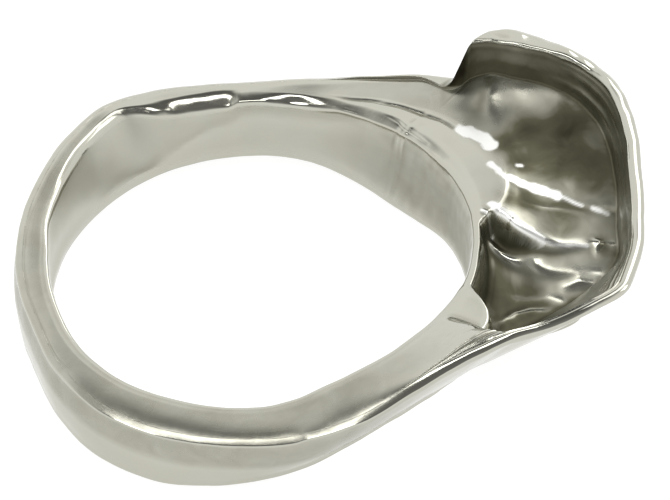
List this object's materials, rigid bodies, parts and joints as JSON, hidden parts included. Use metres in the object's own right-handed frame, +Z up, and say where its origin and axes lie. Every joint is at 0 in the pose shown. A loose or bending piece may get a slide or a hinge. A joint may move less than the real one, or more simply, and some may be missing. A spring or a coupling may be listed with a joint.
{
  "type": "finger ring",
  "caption": "Cast silver finger ring lying on its side, with a plain band that widens into a hollow, thin-walled head with a folded floor.",
  "frame": {"origin": "middle of the finger hole, half the shank's height above the floor that the ring lies on", "axes": "+Z up, along the finger hole's axis, with the ring on its side; +X from the hole to the hollow head; +Y to the collar's far end, away from the side that the picture was taken from"},
  "size_m": [0.0269, 0.022, 0.0067],
  "materials": {
    "silver": "satin to polished sterling silver, with light brown tarnish in the hollow of the head"
  },
  "bodies": {
    "root": {"ring_body": "silver"}
  },
  "joints": []
}
